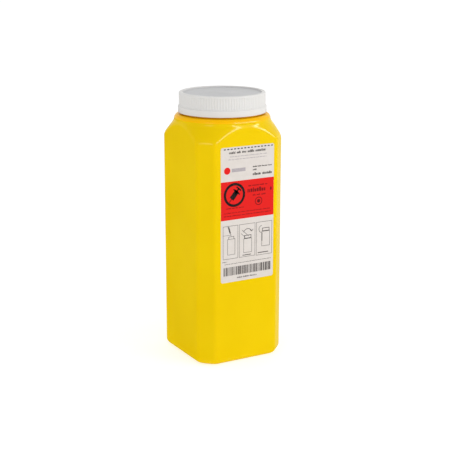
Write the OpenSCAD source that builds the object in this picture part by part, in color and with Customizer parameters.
// Tall square sharps container: a blow-moulded jar with cut corners, a cone
// shoulder and a wide round neck, closed by a lined screw cap, with a label
// on its front face. The jar stands on z = 0 with its axis on Z, and the
// label faces -Y. All sizes are in millimetres.

/* [Body] */
// Width of the jar from flat to flat
body_w = 116; // [100:1:130]
// Height at which the shoulder cone reaches the cut corners
corner_top = 272.8; // [200:0.1:300]
// How far each corner is cut back, along a flat
corner_cut = 16; // [14:0.1:20]
// Rounding of the upright edges
edge_r = 7; // [4:0.5:9]
// Height of the rounding round the foot
foot_rise = 8; // [4:0.5:10]
// How far the rounding runs in under the base
foot_in = 9.5; // [7:0.5:11]
// Rounding of the corners at the bottom of the foot
foot_corner = 16; // [7:0.5:20]
// Thickness of the jar's wall
wall = 1.5; // [1.1:0.1:2]
// Radius of the shallow hollow under the base
hollow_r = 42; // [30:1:46]
// Depth of the hollow under the base
hollow_depth = 1.2; // [0.6:0.1:2]

/* [Shoulder] */
// Rise of the shoulder cone for each millimetre inwards
cone_slope = 1.33; // [1.25:0.005:1.5]
// Radius of the ring on top of the shoulder
ring_r = 57.8; // [57:0.1:58]
// Height of the ring above its foot on the cone
ring_h = 7.3; // [7:0.1:9]
// Rounding of the ring's top edge
ring_round = 5.2; // [3:0.1:5.5]

/* [Neck] */
// Height of the neck above the ring
neck_h = 21.3; // [20.5:0.1:22]
// Radius of the neck between the turns of its thread
neck_r = 48.4; // [48:0.05:48.5]
// Radius of the mouth
mouth_r = 46.6; // [44:0.1:47]

/* [Thread] */
// Rise of the thread in one turn
pitch = 5.08; // [4.5:0.02:5.5]
// Turns of thread on the neck, and in the cap
turns = 1.5; // [1:0.25:1.75]
// Depth of the thread on the neck
neck_thread_depth = 1.35; // [1:0.05:1.4]
// Depth of the thread in the cap
cap_thread_depth = 1.4; // [1:0.05:1.45]
// Width of a thread at its root
thread_root_w = 2.4; // [2:0.1:2.5]
// Width of a thread at its crest
thread_crest_w = 1; // [0.6:0.1:1.1]
// From the mouth down to the middle of the neck thread's start
thread_start = 2.6; // [2.2:0.1:3.4]
// From the neck thread down to the cap thread
thread_gap = 2.2; // [2.1:0.05:2.5]

/* [Cap] */
// Radius of the cap over its ribs
cap_r = 51.9; // [51.8:0.1:53]
// Depth of the grooves between the ribs
rib_depth = 0.5; // [0.3:0.05:0.5]
// Number of ribs round the cap
rib_count = 100; // [60:2:120]
// Radius of the smooth band at the foot of the cap
band_r = 53.1; // [52.6:0.1:54]
// Height of the smooth band
band_h = 7.3; // [5:0.1:9]
// Inner radius of the cap's skirt
cap_bore_r = 50.15; // [50.1:0.05:50.3]
// Gap between the jar's ring and the closed cap
cap_gap = 2; // [1.2:0.1:2.5]
// Thickness of the cap's top
cap_top_t = 1.6; // [1.2:0.1:2.5]
// Width of the raised rim round the cap's top
rim_w = 4.6; // [3:0.1:6]
// Height of the raised rim over the cap's top
rim_h = 1.9; // [1:0.1:2.5]
// Rounding of the cap's top edge
rim_round = 1.4; // [0.6:0.1:1.6]

/* [Liner] */
// Thickness of the sealing disc in the cap
liner_t = 1.2; // [0.8:0.1:1.6]
// Radius of the sealing disc
liner_r = 49.6; // [48.5:0.1:49.8]

/* [Label] */
// Width of the label
label_w = 72; // [50:0.1:72]
// Height of the label
label_h = 162.9; // [100:0.1:164]
// How far the label sits to the right of the middle of its flat
label_x = 1.6; // [-2:0.1:2]
// Height of the label's lower edge over the base
label_z = 103.5; // [40:0.1:104]
// Thickness of the label
label_t = 0.25; // [0.1:0.05:0.3]
// Rounding of the label's corners
label_corner = 2.5; // [0.5:0.1:4]

/* [Hidden] */
$fn = 96;
reach = 90;
inside = 0.4;
// facets round the upright edges, degrees between the levels of the rounded
// foot, and the thickness of each level
edge_fn = 32;
foot_step = 15;
slice = 0.01;

// the shoulder cone, as a line of height against radius
half_w = body_w / 2;
corner_r = half_w * sqrt(2) - corner_cut / sqrt(2);
function cone_z(r) = corner_top + (corner_r - r) * cone_slope;
// how far the cone's inner face lies inside the outer one, measured level
cone_wall = wall * sqrt(1 + pow(cone_slope, 2)) / cone_slope;

// heights, from the foot of the ring to the top of the cap
ring_foot = cone_z(ring_r);
ring_top = ring_foot + ring_h;
mouth_z = ring_top + neck_h;
cap_foot = ring_top + cap_gap;
panel_low = mouth_z + liner_t;
panel_top = panel_low + cap_top_t;
cap_top = panel_top + rim_h;

// thread sections, as steps along the helix
steps_per_turn = 48;
thread_steps = turns * steps_per_turn;
run_out_steps = 5;
neck_thread_z = mouth_z - thread_start;
cap_thread_z = neck_thread_z - thread_gap;

// rib grooves between the band and the cap's top edge
groove_low = cap_foot + band_h + 0.4;
groove_top = cap_top - rim_round - 0.3;
groove_cut = 360 / rib_count;
groove_share = 0.45;

// One level of the body: discs at the ends of its cut corners, with every
// face set back by inset
module body_level(inset, round, z, h) {
    flat = half_w - inset - round;
    end = (corner_r - inset - round) * sqrt(2) - flat;
    for (quarter = [0:3], place = [[flat, end], [end, flat]])
        rotate(quarter * 90)
            translate([place[0], place[1], z]) cylinder(r = round, h = h, $fn = edge_fn);
}

// Straight-sided body with cut corners, rounded upright edges and a rounded
// foot, with every face set back by inset
module body_block(inset) {
    hull() {
        for (a = [0:foot_step:75]) {
            low = 1 - sin(a);
            round = edge_r + (foot_corner - edge_r) * low - inset;
            rise = (foot_rise - inset) * (1 - cos(a));
            body_level(inset + (foot_in - inset) * low, round, inset + rise, slice);
        }
        body_level(inset, edge_r - inset, foot_rise, mouth_z - foot_rise);
    }
}

// Turned limits of the jar's outside: the cone, the ring and the neck
module outer_turning() {
    rotate_extrude() {
        polygon([
            [0, -1],
            [reach, -1],
            [reach, cone_z(reach)],
            [ring_r, ring_foot],
            [ring_r, ring_top - ring_round],
            [0, ring_top - ring_round]
        ]);
        translate([ring_r - ring_round, ring_top - ring_round]) circle(ring_round);
        square([ring_r - ring_round, ring_top]);
        square([neck_r, mouth_z]);
    }
}

// Turned limits of the jar's inside
module inner_turning() {
    inner_ring = ring_r - wall;
    rotate_extrude()
        polygon([
            [0, -1],
            [reach, -1],
            [reach, cone_z(reach + cone_wall)],
            [inner_ring, cone_z(inner_ring + cone_wall)],
            [inner_ring, ring_top - ring_round],
            [inner_ring - ring_round + wall, ring_top - wall],
            [0, ring_top - wall]
        ]);
}

// Ridge of a screw thread with tapered ends, rising against the clock as
// seen from above, from z_top down through the given turns
module thread_ridge(root, crest, z_top) {
    outwards = crest > root;
    count = thread_steps;
    rings = [for (i = [0:count]) let (
        a = -i * 360 / steps_per_turn,
        z = z_top - i * pitch / steps_per_turn,
        full = min(1, (i + 0.2) / run_out_steps, (count - i + 0.2) / run_out_steps),
        tip = root + (crest - root) * full,
        base = root + (outwards ? -inside : inside),
        root_half = thread_root_w / 2 * (0.4 + 0.6 * full),
        crest_half = thread_crest_w / 2 * (0.4 + 0.6 * full)
    ) for (p = [
        [base, z - root_half],
        [tip, z - crest_half],
        [tip, z + crest_half],
        [base, z + root_half]
    ]) [p[0] * cos(a), p[0] * sin(a), p[1]]];
    last = 4 * count;
    skin = [for (i = [0:count - 1], k = [0:3]) let (
        here = 4 * i + k,
        next = 4 * i + (k + 1) % 4
    ) each [[here, next, next + 4], [here, next + 4, here + 4]]];
    ends = [[0, 3, 2], [0, 2, 1], [last, last + 1, last + 2], [last, last + 2, last + 3]];
    faces = concat(skin, ends);
    polyhedron(rings, outwards ? [for (f = faces) [f[2], f[1], f[0]]] : faces);
}

// Blow-moulded jar: body, shoulder, ring and threaded neck in one piece
module jar_body() {
    color("gold") {
        difference() {
            intersection() {
                body_block(0);
                outer_turning();
            }
            intersection() {
                difference() {
                    body_block(wall);
                    cylinder(r = hollow_r + wall, h = wall + hollow_depth);
                }
                inner_turning();
            }
            translate([0, 0, -1]) cylinder(r = hollow_r, h = hollow_depth + 1);
            translate([0, 0, ring_top - wall]) cylinder(r = mouth_r, h = neck_h + wall + 1);
        }
        thread_ridge(neck_r, neck_r + neck_thread_depth, neck_thread_z);
    }
}

// Foamed sealing disc that lies in the cap and seals the neck
module cap_liner() {
    color("white") translate([0, 0, mouth_z]) cylinder(r = liner_r, h = liner_t);
}

// One groove between two ribs
module rib_groove() {
    width = cap_r * 2 * PI / rib_count * groove_share;
    translate([cap_r - rib_depth, -width / 2, groove_low])
        cube([2 * rib_depth, width, groove_top - groove_low]);
}

// Ribbed screw cap with a smooth band at its foot and a sunk top
module screw_cap() {
    color("whitesmoke") {
        difference() {
            rotate_extrude() {
                translate([0, cap_foot]) square([band_r, band_h]);
                translate([0, cap_foot]) square([cap_r, cap_top - cap_foot - rim_round]);
                translate([0, cap_foot]) square([cap_r - rim_round, cap_top - cap_foot]);
                translate([cap_r - rim_round, cap_top - rim_round]) circle(rim_round);
            }
            translate([0, 0, cap_foot - 1]) cylinder(r = cap_bore_r, h = panel_low - cap_foot + 1);
            translate([0, 0, panel_top]) cylinder(r = cap_r - rim_w, h = rim_h + 1);
            for (i = [0:rib_count - 1])
                rotate(i * groove_cut) rib_groove();
        }
        thread_ridge(cap_bore_r, cap_bore_r - cap_thread_depth, cap_thread_z);
    }
}

// Printed label on the front flat
module front_label() {
    color("ivory")
        translate([label_x, -half_w, label_z])
            rotate([90, 0, 0])
                linear_extrude(height = label_t) {
                    across = label_w / 2 - label_corner;
                    translate([-across, 0]) square([2 * across, label_h]);
                    translate([-label_w / 2, label_corner])
                        square([label_w, label_h - 2 * label_corner]);
                    for (x = [-across, across], y = [label_corner, label_h - label_corner])
                        translate([x, y]) circle(label_corner);
                }
}

jar_body();
cap_liner();
screw_cap();
front_label();
